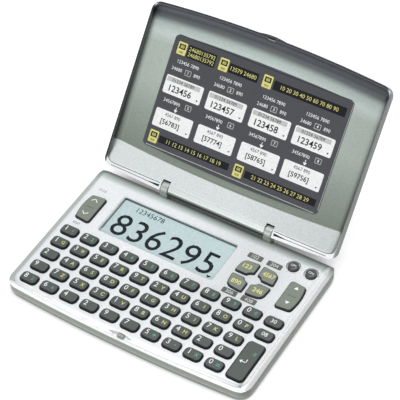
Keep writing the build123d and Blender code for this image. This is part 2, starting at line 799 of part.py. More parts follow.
def make_hinge_barrel():
    """The long barrel between the knuckles, with the root that joins it to the lid."""
    top = TONGUE_Z + TONGUE_T
    root_y = TRAY_BACK_Y + SEAT_GAP
    root = Pos((root_y + AXIS_Y) / 2, (RIM_Z + SEAT_GAP + top) / 2) * Rectangle(
        AXIS_Y - root_y, top - RIM_Z - SEAT_GAP
    )
    profile = root + Pos(AXIS_Y, AXIS_Z) * Circle(BARREL_R)
    barrel = slab_x(profile, -BARREL_HALF, BARREL_HALF)
    barrel += tongue(0)
    for side in (-1, 1):
        mouth = side * (BARREL_HALF + 1)
        end = side * (BARREL_HALF - PIN_REACH - 0.5)
        barrel -= rod_x(AXIS_Y, AXIS_Z, PIN_R + PIN_FIT, min(mouth, end), max(mouth, end))
    return barrel


def hinge_notches():
    """What the barrel and the knuckles need cut out of the lid."""
    half = BARREL_HALF + HINGE_GAP / 2
    cut = block(-half, half, TRAY_BACK_Y, FAR, 0, FAR)
    for side in (-1, 1):
        x0, x1 = knuckle_span(side, HINGE_GAP)
        cut += rod_x(AXIS_Y, AXIS_Z, KNUCKLE_R + NOTCH_GAP, x0, x1)
        cut += block(x0, x1, KNUCKLE_FRONT_Y - NOTCH_GAP, FAR, 0, AXIS_Z)
        cut += block(x0, x1, TRAY_BACK_Y, FAR, 0, FAR)
    cut += rod_x(AXIS_Y, AXIS_Z, SPINE_R - SPINE_T, -half, half)
    return cut + tongue(SEAT_GAP)


# ---- lid ----
def opened(piece):
    """Swing a piece from the closed lid to where it lies with the lid open."""
    return piece.rotate(Axis((0, AXIS_Y, AXIS_Z), (1, 0, 0)), -OPEN_ANGLE)


def crowned_block(face, top_z, edge_r):
    """A prism from the rim up to a crowned top with rounded edges."""
    half = LID_W / 2
    sweep = (half**2 + LID_CROWN**2) / (2 * LID_CROWN)
    crown = Pos(0, 0, top_z - sweep) * Rot(90, 0, 0) * Cylinder(sweep, FAR)
    body = prism(face, RIM_Z, top_z + 1) & crown
    top_edges = [edge for edge in body.edges() if edge.bounding_box().min.Z > RIM_Z + 2]
    top_edges = [edge for edge in top_edges if edge.bounding_box().size.Z < LID_CROWN + 0.5]
    return fillet(top_edges, edge_r)


def lid_spine():
    """The curl of the cover that wraps the barrel from behind, with the web that carries it."""
    bore = Pos(AXIS_Y, AXIS_Z) * Circle(SPINE_R - SPINE_T)
    low_y = TRAY_BACK_Y - SPINE_T
    behind = block_face(AXIS_Y - 1, AXIS_Y + FAR, SPINE_END_Z, AXIS_Z + FAR)
    curl = (Pos(AXIS_Y, AXIS_Z) * Circle(SPINE_R)) & behind
    web = block_face(low_y, AXIS_Y, TONGUE_Z + TONGUE_T + 2 * SEAT_GAP, LID_TOP_Z - SPINE_T)
    return slab_x((curl + web) - bore, -BARREL_HALF, BARREL_HALF)


def make_lid_cover():
    outer = crowned_block(lid_outline(0), LID_TOP_Z, LID_EDGE_R)
    hollow = crowned_block(
        tray_outline(COVER_WALL, TRAY_BACK_Y),
        LID_TOP_Z - COVER_ROOF,
        LID_EDGE_R - COVER_WALL + COVER_EDGE_EASE,
    )
    cover = outer - hollow
    cover += thumb_lip()
    cover -= hinge_notches()
    for side in (-1, 1):
        cover -= wedge_slot(side)
    return cover - latch_pocket() + lid_spine()


def thumb_lip():
    """A lens-shaped lip that stands out of the middle of the lid's front edge."""
    low = RIM_Z + LIP_RAISE
    rise = LIP_REACH + LIP_ROOT
    sweep = (LIP_W**2 / 4 + rise**2) / (2 * rise)
    disc = rod_z(0, LID_FRONT_MID_Y - LIP_REACH + sweep, sweep, low, low + LIP_T)
    return disc & block(-LIP_W, LIP_W, -FAR, LID_FRONT_MID_Y + COVER_WALL / 2, 0, FAR)


def wedge_slot(side):
    corners = [
        (side * SLOT_IN_X, SLOT_Y - SLOT_OPEN / 2),
        (side * SLOT_IN_X, SLOT_Y + SLOT_OPEN / 2),
        (side * SLOT_OUT_X, SLOT_Y),
    ]
    return prism(make_face(Polyline(*corners, close=True)), RIM_Z - 1, RIM_Z + SLOT_DEPTH)


def sweep_about(profile, bow, width, behind):
    """Revolve a Y-Z profile about a far upright axis, so that its edges bow in plan."""
    radius = (width / 2) ** 2 / (2 * bow)
    side = 1 if behind else -1
    axis = Axis((0, side * radius, 0), (0, 0, 1))
    angle = 2 * math.degrees(math.asin(min(0.9, width / 2 / radius))) * 1.3
    turned = Plane.YZ * profile
    return revolve(turned.rotate(axis, -angle / 2), axis, angle)


def far_sweep(drop):
    """The space in front of which the tray curves up to its front rim."""
    depth = TRAY_DEPTH + drop
    start = LID_FRONT_MID_Y + RIM_W - drop * 0.6
    reach = TRAY_FAR_REACH + drop * 0.6
    profile = Pos(start + reach, RIM_Z) * Ellipse(reach, depth)
    profile += Pos(start + reach + 60, RIM_Z) * Rectangle(120, 2 * depth)
    return sweep_about(profile, LID_FRONT_BOW, LID_W, True)


def back_slope(drop):
    """The space under the slope that rises from the crease to the hinge."""
    depth = TRAY_DEPTH + drop
    profile = make_face(
        Polyline(
            (-60, RIM_Z - 3),
            (CREASE_Y + 40, RIM_Z - 3),
            (SLOPE_END_Y + 3, RIM_Z - 3),
            (SLOPE_END_Y + 3, RIM_Z + SLOPE_END_DEPTH + drop - 0.9),
            (SLOPE_END_Y, RIM_Z + SLOPE_END_DEPTH + drop),
            (CREASE_Y, RIM_Z + depth),
            (-60, RIM_Z + depth),
            (-60, RIM_Z - 3),
        )
    )
    return sweep_about(profile, CREASE_BOW, LID_W, False)


def tray_space(inset, drop, edge_r):
    face = tray_outline(inset, TRAY_BACK_Y - (inset - COVER_WALL))
    body = prism(face, RIM_Z - 1, RIM_Z + TRAY_DEPTH + drop)
    body = round_edges(body, RIM_Z + TRAY_DEPTH + drop, edge_r)
    return body & far_sweep(drop) & back_slope(drop)


def make_lid_panel():
    outside = tray_space(COVER_WALL + TRAY_GAP, TRAY_T, TRAY_SIDE_R + TRAY_RIM)
    outside &= block(-FAR, FAR, -FAR, FAR, RIM_Z, FAR)
    inside = tray_space(RIM_W, 0, TRAY_SIDE_R)
    panel = outside - inside
    return panel - hinge_notches() - latch_pocket()


def make_lid_card():
    """The printed card that lies on the flat of the tray."""
    face = bowed_outline(
        CARD_W, CARD_FRONT_Y, CARD_BACK_Y, CARD_FRONT_BOW, CARD_BACK_BOW, CARD_R, CARD_R
    )
    high = RIM_Z + TRAY_DEPTH
    return Pos(CARD_X, 0, 0) * prism(face, high - CARD_T, high)


# ---- latch ----
def make_latch_hook():
    """An upright hook in the base with a small barb towards the front."""
    half = LATCH_W / 2
    hook = block(
        -half, half, LATCH_Y - LATCH_T / 2, LATCH_Y + LATCH_T / 2, LATCH_ROOT_Z, LATCH_TOP_Z
    )
    hook += block(
        -half, half, LATCH_Y - LATCH_T / 2 - LATCH_BARB, LATCH_Y, LATCH_TOP_Z - 0.5, LATCH_TOP_Z
    )
    return hook


def lens_prism(grow, z0, z1):
    """A prism over the lens shape, whose two arcs meet in points left and right."""
    half = LENS_W / 2 + grow
    rise = LENS_D / 2 + grow
    lens = make_face(
        [
            ThreePointArc((-half, 0), (0, rise), (half, 0)),
            ThreePointArc((half, 0), (0, -rise), (-half, 0)),
        ]
    )
    return prism(Pos(0, LATCH_Y) * lens, z0, z1)


def latch_boss():
    """Thickening of the top panel under the dip."""
    return lens_prism(LENS_WALL, PARTING_Z, LENS_Z + LENS_FLOOR_T)


def latch_recess():
    """The slot that the hook stands in, and the lens-shaped dip round it."""
    half = LATCH_W / 2 + SEAT_GAP
    slot = block(
        -half, half,
        LATCH_Y - LATCH_T / 2 - SEAT_GAP, LATCH_Y + LATCH_T / 2 + SEAT_GAP,
        LATCH_ROOT_Z - 1, TOP_Z + 1,
    )
    return slot + lens_prism(0, LENS_Z, TOP_Z + 1)


def latch_pocket():
    """The pocket of the lid that the hook snaps into."""
    half = LATCH_W / 2 + LATCH_GAP
    front = LATCH_Y - LATCH_T / 2 - LATCH_BARB - LATCH_GAP
    back = LATCH_Y + LATCH_T / 2 + LATCH_GAP
    return block(-half, half, front, back, RIM_Z - 1, LATCH_TOP_Z + LATCH_GAP)


# ---- all nodes ----
def base_nodes():
    envelope = base_envelope()
    hollow = base_hollow()
    nodes = {
        "base_bottom_case": make_bottom_case(envelope, hollow) - latch_recess(),
        "base_top_panel": make_top_panel(envelope, hollow),
        "display_window": display_plate(WINDOW_LAP, WINDOW_Z, WINDOW_T),
        "lcd_panel": display_plate(GLASS_LAP, GLASS_Z, GLASS_T),
        "lcd_frame": make_lcd_frame(),
        "lcd_connector": make_lcd_connector(),
        "keymat": make_keymat(),
        "circuit_board": make_circuit_board(),
        "circuit_chips": make_circuit_chips(),
        "battery_cover": make_battery_cover(),
        "battery_contacts": make_battery_contacts(),
        "case_screws": make_case_screws(),
        "rubber_feet": make_rubber_feet(),
        "button_rings": make_button_rings(),
        "latch_hook": make_latch_hook(),
        "hinge_pins": make_hinge_pins(),
    }
    for side, word in ((-1, "left"), (1, "right")):
        nodes["hinge_knuckle_" + word] = make_knuckle(side)
        nodes["battery_cell_" + word] = make_cell(side * CELL_X, CELL_Y)
    return nodes


def lid_nodes():
    closed = {
        "hinge_barrel": make_hinge_barrel(),
        "lid_outer_cover": make_lid_cover(),
        "lid_inner_panel": make_lid_panel(),
        "lid_card": make_lid_card(),
    }
    return {name: opened(piece) for name, piece in closed.items()}


def key_nodes():
    nodes = {}
    for row in range(ROWS):
        keys = [lipped_key(x, y, KEY_W, KEY_D) for x, y in small_key_places(row)]
        if row < FULL_ROWS:
            for column, key in enumerate(keys):
                nodes["key_r%d_c%02d" % (row + 1, column + 1)] = key
        else:
            nodes["key_row_%d" % (row + 1)] = Compound(keys)
    x, y = enter_key_place()
    nodes["enter_key"] = lipped_key(x, y, KEY_W, enter_key_depth())
    for side, word in ((-1, "left"), (1, "right")):
        nodes["rocker_" + word] = make_rocker(side)
    for number, sides in enumerate(mode_sides(), 1):
        nodes["mode_key_%d" % number] = make_mode_key(*sides)
    for x, word in zip(round_places(), ("left", "right")):
        nodes["round_button_" + word] = make_round_button(x)
    return nodes


def main():
    os.makedirs("parts", exist_ok=True)
    for nodes in (base_nodes(), lid_nodes(), key_nodes()):
        for name, piece in nodes.items():
            export_step(piece, "parts/%s.step" % name)


main()
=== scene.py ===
import json
import math

import bpy
from mathutils import Matrix, Vector


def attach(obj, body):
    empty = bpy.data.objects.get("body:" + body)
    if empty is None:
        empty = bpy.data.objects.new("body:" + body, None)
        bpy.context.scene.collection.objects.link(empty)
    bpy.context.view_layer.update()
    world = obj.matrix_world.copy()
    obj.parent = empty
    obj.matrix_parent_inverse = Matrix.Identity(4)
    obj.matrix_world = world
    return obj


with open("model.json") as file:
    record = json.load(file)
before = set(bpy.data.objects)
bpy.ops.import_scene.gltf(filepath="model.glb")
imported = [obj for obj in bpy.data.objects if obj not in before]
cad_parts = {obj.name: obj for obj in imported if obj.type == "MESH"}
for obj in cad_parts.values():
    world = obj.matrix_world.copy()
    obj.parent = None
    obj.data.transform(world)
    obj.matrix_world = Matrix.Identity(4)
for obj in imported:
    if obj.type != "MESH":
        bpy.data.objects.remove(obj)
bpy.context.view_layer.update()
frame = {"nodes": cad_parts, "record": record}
MM = 0.001

# Lengths are in millimetres unless a comment says otherwise, and y and z on the lid are those
# of the closed lid. Here are the hinge's axis and the lid's opening in degrees.
AXIS_Y, AXIS_Z, OPEN_ANGLE = 40.0, 9.3, 131.3
OPEN_COS = math.cos(math.radians(OPEN_ANGLE))
OPEN_SIN = math.sin(math.radians(OPEN_ANGLE))

# Directions on the open lid: out of its inner face, and from the hinge to its far edge.
LID_INNER = (0, -OPEN_SIN, -OPEN_COS)
LID_FAR = (0, -OPEN_COS, OPEN_SIN)

# The lid's bowed lines: their y in the middle, and how much they bow, per metre.
COVER_EDGE_Y, TRAY_EDGE_Y, EDGE_BOW = -44.8, -43.6, 0.733
CREASE_Y, CREASE_BOW = 29.0, -0.549

# Heights of the faces that carry print, and how far print lies off them.
PLATEAU_Z, KEY_TOP_Z, ROUND_TOP_Z, GLASS_TOP_Z = 8.0, 9.2, 9.0, 6.1
RIM_Z, CARD_Z = 6.57, 9.82
INK = 0.02

# The grid of small keys, and the middle of the four mode keys.
KEY_X0, KEY_Y0, PITCH_X, PITCH_Y = -53.8, -3.7, 10.95, 8.08
MODE_X, MODE_Y = 35.1, 12.75


# ---- materials ----
PLASTIC_SPECULAR, INK_SPECULAR = 0.28, 0.1
# Scales of the noise, per metre, the grain's depth, and how far tone and roughness vary.
FLECK_SCALE, MOTTLE_SCALE, GRAIN_SCALE, KEY_GRAIN_SCALE = 1100, 700, 2500, 3000
GRAIN_DEPTH = 0.05
DARKEST, PALEST, GLOSS_SPREAD = 0.94, 1.05, 0.2


def shader(name, color, roughness, metallic=0.0, coat=0.0, specular=PLASTIC_SPECULAR):
    mat = bpy.data.materials.new(name)
    mat.use_nodes = True
    bsdf = mat.node_tree.nodes["Principled BSDF"]
    bsdf.inputs["Base Color"].default_value = (*color, 1)
    bsdf.inputs["Roughness"].default_value = roughness
    bsdf.inputs["Metallic"].default_value = metallic
    bsdf.inputs["Coat Weight"].default_value = coat
    bsdf.inputs["Specular IOR Level"].default_value = specular
    return mat, mat.node_tree, bsdf


def grey(value):
    return (value, value, value)


def math_node(tree, kind, a, b):
    """Output of a maths node; a and b are sockets or floats."""
    made = tree.nodes.new("ShaderNodeMath")
    made.operation = kind
    for socket, value in zip(made.inputs, (a, b)):
        if isinstance(value, float):
            socket.default_value = value
        else:
            tree.links.new(value, socket)
    return made.outputs[0]


def square(tree, value):
    return math_node(tree, "MULTIPLY", value, value)


def ramp_color(tree, factor, stops):
    """Colour by a factor; the stops are (factor, colour), in rising order."""
    ramp = tree.nodes.new("ShaderNodeValToRGB")
    elements = ramp.color_ramp.elements
    while len(elements) < len(stops):
        elements.new(0.5)
    for element, (place, color) in zip(elements, stops):
        element.position = place
        element.color = (*color, 1)
    tree.links.new(factor, ramp.inputs["Fac"])
    return ramp.outputs["Color"]


def ramp_mm(tree, distance, span, stops):
    """Colour by a distance in metres; the span and the stops' places are in millimetres."""
    start, end = span
    past_start = math_node(tree, "ADD", distance, -start * MM)
    factor = math_node(tree, "MULTIPLY", past_start, 1 / ((end - start) * MM))
    return ramp_color(
        tree, factor, [((place - start) / (end - start), color) for place, color in stops])


def blend(tree, first, second, kind="MULTIPLY", share=None):
    """Second over first, as far as share says. First is a colour or a socket."""
    mix = tree.nodes.new("ShaderNodeMix")
    mix.data_type = "RGBA"
    mix.blend_type = kind
    mix.inputs["Factor"].default_value = 1.0
    if share is not None:
        tree.links.new(share, mix.inputs["Factor"])
    colors = [socket for socket in mix.inputs if socket.type == "RGBA"]
    if isinstance(first, tuple):
        colors[0].default_value = (*first, 1)
    else:
        tree.links.new(first, colors[0])
    tree.links.new(second, colors[1])
    return [socket for socket in mix.outputs if socket.type == "RGBA"][0]


def object_axes(tree):
    """The point's place in metres, as X, Y and Z outputs."""
    coords = tree.nodes.new("ShaderNodeTexCoord")
    split = tree.nodes.new("ShaderNodeSeparateXYZ")
    tree.links.new(coords.outputs["Object"], split.inputs["Vector"])
    return split.outputs


def facing(tree, direction):
    """How far the surface faces that direction of its own object, from -1 to 1."""
    geometry = tree.nodes.new("ShaderNodeNewGeometry")
    local = tree.nodes.new("ShaderNodeVectorTransform")
    local.vector_type = "NORMAL"
    local.convert_from = "WORLD"
    local.convert_to = "OBJECT"
    dot = tree.nodes.new("ShaderNodeVectorMath")
    dot.operation = "DOT_PRODUCT"
    dot.inputs[1].default_value = direction
    tree.links.new(geometry.outputs["True Normal"], local.inputs["Vector"])
    tree.links.new(local.outputs["Vector"], dot.inputs[0])
    return dot.outputs["Value"]


def lid_inward(tree, axes, line_y, bow):
    """Distance in metres from a bowed line across the lid, measured towards the hinge."""
    along = math_node(tree, "MULTIPLY", axes["Y"], OPEN_COS)
    up = math_node(tree, "MULTIPLY", axes["Z"], -OPEN_SIN)
    straight = math_node(tree, "ADD", along, up)
    curve = math_node(tree, "MULTIPLY", square(tree, axes["X"]), -bow)
    offset = (AXIS_Y - AXIS_Y * OPEN_COS + AXIS_Z * OPEN_SIN - line_y) * MM
    return math_node(tree, "ADD", straight, math_node(tree, "ADD", curve, offset))


def noise(tree, scale, detail=2):
    """Fine noise between 0 and 1, mostly near 0.5."""
    coords = tree.nodes.new("ShaderNodeTexCoord")
    made = tree.nodes.new("ShaderNodeTexNoise")
    made.inputs["Scale"].default_value = scale
    made.inputs["Detail"].default_value = detail
    tree.links.new(coords.outputs["Object"], made.inputs["Vector"])
    return made.outputs["Fac"]


def speckle(tree, depth):
    """Fine light and dark flecks of a sprayed metallic lacquer."""
    flecks = noise(tree, FLECK_SCALE)
    return ramp_color(tree, flecks, [(0.3, grey(1 - depth)), (0.7, grey(1 + depth))])


def add_grain(tree, bsdf, strength, scale=GRAIN_SCALE):
    """Fine moulded or sprayed texture."""
    bump = tree.nodes.new("ShaderNodeBump")
    bump.inputs["Strength"].default_value = strength
    bump.inputs["Distance"].default_value = GRAIN_DEPTH * MM
    tree.links.new(noise(tree, scale, detail=3), bump.inputs["Height"])
    tree.links.new(bump.outputs["Normal"], bsdf.inputs["Normal"])


def plastic(name, color, roughness, grain=0.0, coat=0.0, metallic=0.0,
            specular=PLASTIC_SPECULAR):
    """One colour with a slight unevenness of tone and gloss, and a moulded grain."""
    mat, tree, bsdf = shader(name, color, roughness, metallic, coat, specular)
    mottle = noise(tree, MOTTLE_SCALE)
    low, high = [tuple(channel * tone for channel in color) for tone in (DARKEST, PALEST)]
    toned = ramp_color(tree, mottle, [(0.3, low), (0.7, high)])
    uneven = math_node(tree, "MULTIPLY", mottle, GLOSS_SPREAD)
    gloss = math_node(tree, "ADD", uneven, roughness - GLOSS_SPREAD / 2)
    tree.links.new(toned, bsdf.inputs["Base Color"])
    tree.links.new(gloss, bsdf.inputs["Roughness"])
    if grain:
        add_grain(tree, bsdf, grain)
    return mat


def key_with_shaded_flanks(name, top, side):
    """Key plastic: a matt top in the key's own colour, with the flanks painted dark as shade."""
    mat, tree, bsdf = shader(name, top, 0.42)
    # Painted shade: the faces that do not face up are coloured near black.
    color = ramp_color(tree, facing(tree, (0, 0, 1)), [(0.9, side), (0.995, top)])
    tree.links.new(blend(tree, color, speckle(tree, 0.05)), bsdf.inputs["Base Color"])
    add_grain(tree, bsdf, 0.04, KEY_GRAIN_SCALE)
    return mat


def panel_lacquer():
    """Silver lacquer of the keyboard panel, with painted shade down its edge and down the rolled
    back edge to the hinge, and a painted highlight on the shoulder along the front and the right."""
    mat, tree, bsdf = shader("silver_panel", (0.72, 0.735, 0.75), 0.42, 0.2)
    axes = object_axes(tree)
    # Painted shade: darker down the shoulder to the edge, with a painted dark line near the edge.
    edge = ramp_mm(tree, axes["Z"], (5.5, 8.5), [
        (5.5, (0.32, 0.35, 0.33)), (6.01, (0.42, 0.45, 0.43)), (6.43, (0.45, 0.48, 0.46)),
        (6.52, (0.37, 0.40, 0.38)), (6.76, (0.50, 0.54, 0.52)), (7.93, (0.75, 0.77, 0.78)),
    ])
    # Painted highlight along the front shoulder.
    painted_front_highlight = ramp_mm(tree, axes["Y"], (-45.0, -35.0), [
        (-41.4, grey(0.93)), (-40.8, grey(0.82)), (-40.0, grey(0.74)), (-39.2, grey(0.0)),
    ])
    # Painted highlight on the right shoulder, and painted shade on the land outside it.
    painted_right_highlight = ramp_mm(tree, axes["X"], (55.0, 65.0), [
        (59.6, grey(0.0)), (60.2, grey(0.68)), (60.6, grey(0.86)), (61.0, grey(1.0)),
        (61.5, grey(1.0)), (61.7, grey(0.62)), (62.8, grey(0.44)),
    ])
    # Painted shade: a darker band on the right shoulder, against the light that falls there.
    painted_right_shade_line = ramp_mm(tree, axes["X"], (55.0, 65.0), [
        (59.0, grey(1.0)), (59.5, grey(0.86)), (60.2, grey(0.84)), (60.7, grey(1.0)),
    ])
    # Painted shade down the back slope, black at its foot, where the open lid keeps the light off.
    painted_roll_shade = ramp_mm(tree, axes["Y"], (31.0, 41.0), [
        (31.3, grey(1.0)), (32.2, (0.86, 0.89, 0.88)), (33.5, (0.74, 0.78, 0.76)),
        (35.5, (0.62, 0.67, 0.63)), (37.2, (0.42, 0.46, 0.43)), (38.2, (0.25, 0.27, 0.25)),
        (38.8, grey(0.02)),
    ])
    # Painted shade across the panel towards its back: darker in the middle right, lighter at the
    # left and the right edge.
    painted_shade_across = ramp_mm(tree, axes["X"], (-20.0, 65.0), [
        (-20.0, grey(1.03)), (0.0, grey(0.97)), (25.0, grey(0.85)), (48.33, grey(0.88)),
        (57.5, grey(0.95)), (62.5, grey(1.04)),
    ])
    towards_back = ramp_mm(tree, axes["Y"], (-35.0, 15.0), [(-35.0, grey(0.0)), (0.0, grey(1.0))])
    shone = blend(tree, blend(tree, edge, painted_front_highlight, "LIGHTEN"), painted_right_highlight, "LIGHTEN")
    toned = blend(tree, blend(tree, shone, painted_right_shade_line), painted_shade_across, share=towards_back)
    color = blend(tree, blend(tree, toned, painted_roll_shade), speckle(tree, 0.05))
    tree.links.new(color, bsdf.inputs["Base Color"])
    add_grain(tree, bsdf, 0.05)
    return mat


def barrel_painted_light():
    """Metallic hinge barrel with a painted highlight along the top and painted shade on its
    underside, black at the bottom.
    """
    mat, tree, bsdf = shader("hinge_barrel", (0.5, 0.54, 0.5), 0.32, 0.4)
    turn = math_node(tree, "MULTIPLY", math_node(tree, "ADD", facing(tree, LID_FAR), 1.0), 0.5)
    # Painted highlight and shade round the barrel, by which way its surface faces.
    color = ramp_color(tree, turn, [
        (0.06, (0.01, 0.01, 0.012)), (0.13, (0.09, 0.10, 0.095)), (0.20, (0.24, 0.27, 0.25)),
        (0.30, (0.30, 0.33, 0.31)), (0.38, (0.52, 0.56, 0.54)), (0.55, (0.46, 0.50, 0.48)),
        (0.70, (0.16, 0.18, 0.17)),
    ])
    tree.links.new(blend(tree, color, speckle(tree, 0.03)), bsdf.inputs["Base Color"])
    return mat


def case_plastic():
    """Grey-green moulding of the bottom case: painted shade on the right side, painted light low on
    the sides, so darker higher up and underneath, and painted shade on the ledge behind the panel."""
    mat, tree, bsdf = shader("grey_green_case", (0.36, 0.40, 0.35), 0.45)
    axes = object_axes(tree)
    # Painted shade on the faces turned to the right.
    tone = ramp_color(
        tree, facing(tree, (1, 0, 0)), [(0.3, (0.62, 0.68, 0.60)), (0.8, (0.50, 0.55, 0.49))])
    climb, ledge_y = 4.0, 37.9
    height = math_node(tree, "MULTIPLY", axes["Z"], 1 / (climb * MM))
    rise = math_node(tree, "ADD", height, facing(tree, (0, 0, -1)))
    # Painted light low on the sides, and so darker higher up and on faces turned down.
    low_sides_painted_light = ramp_color(tree, rise, [(0.2, grey(1.0)), (0.95, grey(0.62))])
    # Painted shade, near black, on the upward faces of the ledge behind the panel.
    behind = math_node(tree, "GREATER_THAN", axes["Y"], ledge_y * MM)
    on_ledge = math_node(tree, "MULTIPLY", behind, facing(tree, (0, 0, 1)))
    shade = ramp_color(tree, on_ledge, [(0.2, grey(1.0)), (0.5, grey(0.05))])
    color = blend(tree, blend(tree, tone, low_sides_painted_light), shade)
    tree.links.new(color, bsdf.inputs["Base Color"])
    add_grain(tree, bsdf, 0.2)
    return mat


def tray_lacquer():
    """Grey-green satin lacquer of the lid's tray: a painted dark reflection at the far end, painted
    shade on the left, a painted dark line on the right, painted shade darkening towards the hinge,
    and the slope by the hinge painted silver as where light falls on it."""
    mat, tree, bsdf = shader("lid_tray_lacquer", (0.4, 0.44, 0.4), 0.36, 0.3)
    axes = object_axes(tree)
    # Painted reflection and shade along the tray: a dark band at the far end, a bright band past
    # it, and darker towards the hinge.
    painted_shade_along = ramp_mm(tree, lid_inward(tree, axes, TRAY_EDGE_Y, EDGE_BOW), (0.0, 80.0), [
        (0.0, (0.10, 0.105, 0.12)), (1.76, (0.14, 0.145, 0.16)), (3.6, (0.036, 0.04, 0.05)),
        (5.6, (0.11, 0.12, 0.12)), (8.4, (0.40, 0.46, 0.43)), (12.8, (0.52, 0.59, 0.56)),
        (17.6, (0.40, 0.45, 0.41)), (36.0, (0.37, 0.42, 0.38)), (52.0, (0.25, 0.29, 0.255)),
        (69.2, (0.165, 0.195, 0.16)), (72.0, (0.185, 0.215, 0.18)),
    ])
    # Painted light: the slope beyond the crease, by the hinge, is coloured pale silver as where
    # light falls on it.
    silver = (0.66, 0.70, 0.69)
    off_slope = ramp_mm(tree, lid_inward(tree, axes, CREASE_Y, CREASE_BOW), (0.0, 0.4), [
        (0.0, grey(1.0)), (0.4, grey(0.0)),
    ])
    # Painted shade: near black on the left wall, darker towards the right, with a dark line on the
    # right wall.
    side = ramp_mm(tree, axes["X"], (-63.0, 63.0), [
        (-61.99, (0.02, 0.018, 0.032)), (-60.48, grey(1.0)), (6.27, grey(1.0)),
        (57.66, grey(0.82)), (59.92, grey(0.72)), (60.55, grey(0.35)), (61.31, grey(0.35)),
        (61.81, grey(0.8)),
    ])
    with_slope = blend(tree, silver, painted_shade_along, "MIX", off_slope)
    color = blend(tree, blend(tree, with_slope, side), speckle(tree, 0.07))
    tree.links.new(color, bsdf.inputs["Base Color"])
    add_grain(tree, bsdf, 0.08)
    return mat


def cover_lacquer():
    """Silver lacquer of the lid's cover, with painted shade: dark on the far and left rims, darker
    on the right rim and the right side, and dark inside the curl round the hinge barrel."""
    silver, dark = (0.80, 0.81, 0.82), (0.03, 0.03, 0.035)
    mat, tree, bsdf = shader("silver_cover", silver, 0.38, 0.15, 0.1)
    axes = object_axes(tree)
    inward = lid_inward(tree, axes, COVER_EDGE_Y, EDGE_BOW)
    # Painted shade on the rims: near black along the far and left rims, darker on the right rim.
    far = ramp_mm(tree, inward, (0.0, 80.0), [(0.96, dark), (1.6, grey(1.0))])
    left = ramp_mm(tree, axes["X"], (-63.0, 62.0), [(-62.0, dark), (-61.5, grey(1.0))])
    right = ramp_mm(tree, axes["X"], (55.0, 63.0), [(61.56, grey(1.0)), (62.2, (0.25, 0.27, 0.26))])
    lines = blend(tree, blend(tree, far, left), right)
    on_rim = math_node(tree, "GREATER_THAN", facing(tree, LID_INNER), 0.7)
    rims = blend(tree, silver, lines, share=on_rim)
    # Painted shade on the faces turned to the right.
    right_side_painted_shade = ramp_color(
        tree, facing(tree, (1, 0, 0)), [(0.3, grey(1.0)), (0.7, (0.26, 0.28, 0.26))])
    # Painted shade, near black, on the inner faces of the curl round the barrel, where the hinge
    # keeps the light off.
    curl_radius, curl_half_width = 3.674, 27.02
    from_axis_y = math_node(tree, "ADD", axes["Y"], -AXIS_Y * MM)
    from_axis_z = math_node(tree, "ADD", axes["Z"], -AXIS_Z * MM)
    distance_2 = math_node(tree, "ADD", square(tree, from_axis_y), square(tree, from_axis_z))
    near_axis = math_node(tree, "LESS_THAN", distance_2, (curl_radius * MM) ** 2)
    between = math_node(tree, "LESS_THAN", square(tree, axes["X"]), (curl_half_width * MM) ** 2)
    on_curl = math_node(tree, "MULTIPLY", near_axis, between)
    lip = math_node(tree, "MULTIPLY", on_curl, facing(tree, LID_INNER))
    curl = ramp_color(tree, lip, [(0.1, grey(1.0)), (0.3, grey(0.04))])
    color = blend(tree, blend(tree, rims, right_side_painted_shade), blend(tree, curl, speckle(tree, 0.025)))
    tree.links.new(color, bsdf.inputs["Base Color"])
    add_grain(tree, bsdf, 0.04)
    return mat


def clear_plastic():
    mat, _, bsdf = shader("clear_window", (0.05, 0.06, 0.06), 0.04)
    bsdf.inputs["Alpha"].default_value = 0.05
    return mat


SILVER = panel_lacquer()
COVER = cover_lacquer()
GREEN_GREY = case_plastic()
KNUCKLE = plastic("hinge_knuckle", (0.42, 0.46, 0.43), 0.35, 0.1, metallic=0.3)
TRAY = tray_lacquer()
BARREL = barrel_painted_light()
KEY_DARK = key_with_shaded_flanks("charcoal_key", (0.085, 0.10, 0.09), (0.006, 0.007, 0.010))
KEY_GREY = key_with_shaded_flanks("grey_key", (0.215, 0.245, 0.205), (0.025, 0.026, 0.03))
ROUND_DARK = plastic("round_button_black", (0.05, 0.055, 0.055), 0.25, coat=0.5)
CHROME = plastic("ring_metal", (0.80, 0.82, 0.82), 0.28, metallic=0.45)
STEEL = plastic("steel", (0.5, 0.5, 0.5), 0.3, metallic=1.0)
LCD = plastic("lcd_film", (0.65, 0.80, 0.815), 0.5)
BLACK = plastic("black_plastic", (0.02, 0.02, 0.02), 0.5, 0.1)
RUBBER = plastic("black_rubber", (0.03, 0.03, 0.03), 0.75, 0.3)
MAT_RUBBER = plastic("grey_rubber", (0.30, 0.31, 0.30), 0.7, 0.2)
BOARD = plastic("solder_mask", (0.02, 0.12, 0.05), 0.35)
CARD = plastic("card_print_ground", (0.062, 0.063, 0.072), 0.5, 0.05)
CLEAR = clear_plastic()

SLOT_MATERIALS = {
    "case": GREEN_GREY, "silver_panel": SILVER, "silver_lid": COVER, "window": CLEAR,
    "lcd": LCD, "black_frame": BLACK, "rubber_black": RUBBER, "keymat": MAT_RUBBER,
    "board": BOARD, "chips": BLACK, "contacts": STEEL, "screws": STEEL, "ring_metal": CHROME,
    "steel": STEEL, "cell": STEEL, "lid_inner": TRAY, "card": CARD, "key_dark": KEY_DARK,
    "key_grey": KEY_GREY,
}
NODE_MATERIALS = {
    "hinge_barrel": BARREL, "hinge_knuckle_left": KNUCKLE, "hinge_knuckle_right": KNUCKLE,
    "round_button_left": ROUND_DARK, "round_button_right": ROUND_DARK,
}


def dress_frame():
    """Give each CAD node its own material, or that of its slot."""
    for part in frame["record"]["subparts"]:
        node = frame["nodes"][part["node"]]
        of_slot = SLOT_MATERIALS[part["material_slot"]]
        node.data.materials.clear()
        node.data.materials.append(NODE_MATERIALS.get(part["node"], of_slot))


